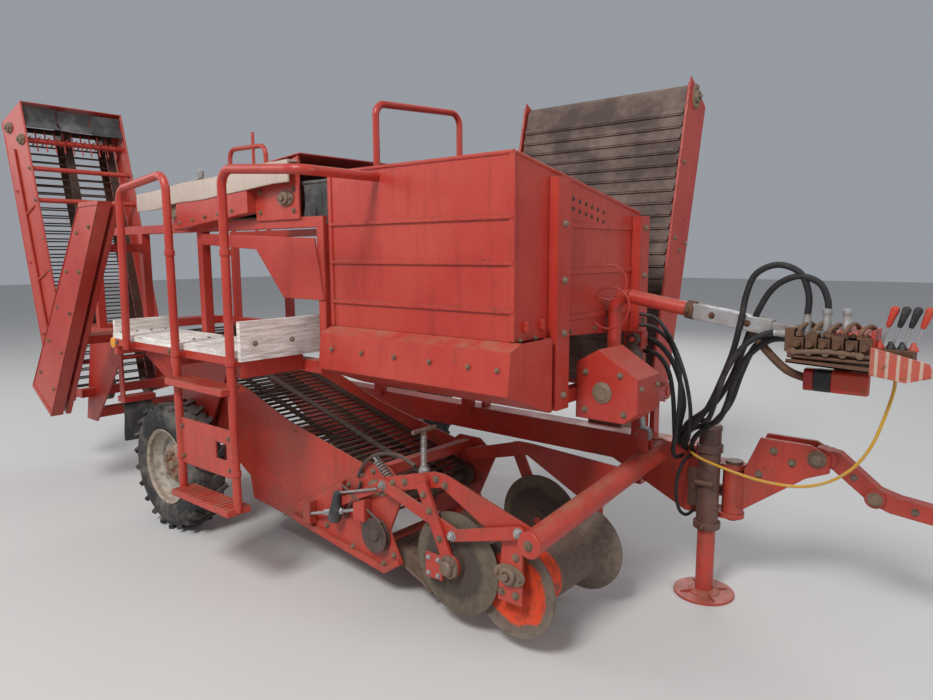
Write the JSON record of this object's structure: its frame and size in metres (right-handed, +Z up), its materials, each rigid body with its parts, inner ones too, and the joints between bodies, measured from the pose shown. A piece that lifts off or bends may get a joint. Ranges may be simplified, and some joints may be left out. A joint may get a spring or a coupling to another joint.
{
  "type": "potato harvester",
  "caption": "Trailed one-row potato harvester with digger, sieving web, picking platform, front bunker and side discharge elevator, parked on its wheels and jack.",
  "frame": {"origin": "on the ground, below the centre of the whole machine's box", "axes": "+X forward to the drawbar, +Y to the machine's left, +Z up"},
  "size_m": [6.308, 2.5, 2.7457],
  "materials": {
    "red_paint": "sun-faded orange-red enamel with rust and dirt",
    "dark_paint": "oily black-brown",
    "rim_paint": "dull silver with rust",
    "tyre": "dusty rubber",
    "worn_steel": "soil-worn steel",
    "web_steel": "black rods and belts",
    "bright_steel": "galvanised",
    "belt_rubber": "brown dusty rubber",
    "wood": "weathered grey planks"
  },
  "bodies": {
    "chassis": {"main_frame": "red_paint", "axle": "red_paint", "rear_frame": "red_paint", "bunker": "red_paint", "bunker_posts": "red_paint", "bunker_floor": "red_paint", "bunker_rail": "red_paint", "rear_elevator": "red_paint", "rear_web": "web_steel", "web_guard": "red_paint", "table_panels": "red_paint", "chutes": "red_paint", "hand_loop": "red_paint", "platform_frame": "red_paint", "planks": "wood", "ladder": "red_paint", "gear_guard": "red_paint", "gearbox": "worn_steel", "jack_tube": "dark_paint", "valve_arm": "red_paint", "valve_bank": "worn_steel", "drawbar_pin": "worn_steel"},
    "wheel_right": {"tyre_right": "tyre", "rim_right": "rim_paint"},
    "wheel_left": {"tyre_left": "tyre", "rim_left": "rim_paint"},
    "pick_up": {"web_walls": "red_paint", "web_rods": "web_steel", "digger_plates": "red_paint", "share": "worn_steel", "roller_frame": "red_paint", "coulter_forks": "red_paint", "depth_spindle": "worn_steel"},
    "coulter_right": {"coulter_right": "worn_steel"},
    "coulter_left": {"coulter_left": "worn_steel"},
    "diabolo_roller": {"diabolo_roller": "worn_steel"},
    "lift_barrel": {"lift_barrel": "dark_paint"},
    "lift_rod": {"lift_rod": "bright_steel"},
    "discharge": {"discharge_frame": "red_paint", "discharge_belt": "belt_rubber"},
    "tine_rotor": {"tine_rotor": "red_paint"},
    "table_drum": {"table_drum": "belt_rubber"},
    "table_roller": {"table_sprocket": "worn_steel"},
    "drawbar": {"drawbar": "red_paint", "hitch_arm": "red_paint"},
    "jack_leg": {"jack_leg": "red_paint"},
    "steer_barrel": {"steer_barrel": "dark_paint"},
    "steer_rod": {"steer_rod": "bright_steel"}
  },
  "joints": [
    {"name": "wheel_right_spin", "type": "hinge", "parent": "chassis", "child": "wheel_right", "pos_m": [-0.75, -0.87, 0.38], "axis": [0, 1, 0], "continuous": true},
    {"name": "wheel_left_spin", "type": "hinge", "parent": "chassis", "child": "wheel_left", "pos_m": [-0.75, 1.13, 0.38], "axis": [0, 1, 0], "continuous": true},
    {"name": "pick_up_lift", "type": "hinge", "parent": "chassis", "child": "pick_up", "pos_m": [-1.36, -0.375, 1.05], "axis": [0, -1, 0], "range_deg": [-3, 1.5]},
    {"name": "coulter_right_spin", "type": "hinge", "parent": "pick_up", "child": "coulter_right", "pos_m": [1.345, -0.76, 0.315], "axis": [0, 1, 0], "continuous": true},
    {"name": "coulter_left_spin", "type": "hinge", "parent": "pick_up", "child": "coulter_left", "pos_m": [1.345, -0.12, 0.315], "axis": [0, 1, 0], "continuous": true},
    {"name": "diabolo_roller_spin", "type": "hinge", "parent": "pick_up", "child": "diabolo_roller", "pos_m": [1.625, -0.45, 0.275], "axis": [0, 1, 0], "continuous": true},
    {"name": "discharge_fold", "type": "hinge", "parent": "chassis", "child": "discharge", "pos_m": [1.15, 0.5148, 0.9137], "axis": [-1, 0, 0], "range_deg": [0, 40]},
    {"name": "tine_rotor_spin", "type": "hinge", "parent": "chassis", "child": "tine_rotor", "pos_m": [-2.7548, -0.535, 2.4741], "axis": [0, 1, 0], "continuous": true},
    {"name": "table_drum_spin", "type": "hinge", "parent": "chassis", "child": "table_drum", "pos_m": [0.35, -0.26, 1.89], "axis": [0, 1, 0], "continuous": true},
    {"name": "table_roller_spin", "type": "hinge", "parent": "chassis", "child": "table_roller", "pos_m": [-0.68, -0.26, 1.88], "axis": [0, 1, 0], "continuous": true},
    {"name": "drawbar_steer", "type": "hinge", "parent": "chassis", "child": "drawbar", "pos_m": [2.11, 0.39, 0.5], "axis": [0, 0, 1], "range_deg": [-18, 18]},
    {"name": "jack_slide", "type": "slide", "parent": "chassis", "child": "jack_leg", "axis": [0, 0, 1], "range_m": [0, 0.3]},
    {"name": "lift_barrel_swing", "type": "hinge", "parent": "chassis", "child": "lift_barrel", "pos_m": [1.735, 0.06, 1.23], "axis": [0, -1, 0], "range_deg": [-6, 4]},
    {"name": "lift_rod_slide", "type": "slide", "parent": "lift_barrel", "child": "lift_rod", "axis": [0.1461, 0, -0.9893], "range_m": [-0.1, 0.18]},
    {"name": "steer_barrel_swing", "type": "hinge", "parent": "drawbar", "child": "steer_barrel", "pos_m": [2.11, 0.53, 0.44], "axis": [0, 0, 1], "range_deg": [-22, 22]},
    {"name": "steer_rod_slide", "type": "slide", "parent": "steer_barrel", "child": "steer_rod", "axis": [-1, 0, 0], "range_m": [-0.06, 0.06]}
  ],
  "couplings": [
    {"joint": "lift_barrel_swing", "follows": "pick_up_lift", "ratio": 1.6166},
    {"joint": "lift_rod_slide", "follows": "pick_up_lift", "m_per_rad": -3.0881},
    {"joint": "steer_barrel_swing", "follows": "drawbar_steer", "ratio": -1},
    {"joint": "steer_rod_slide", "follows": "drawbar_steer", "m_per_rad": -0.14}
  ]
}
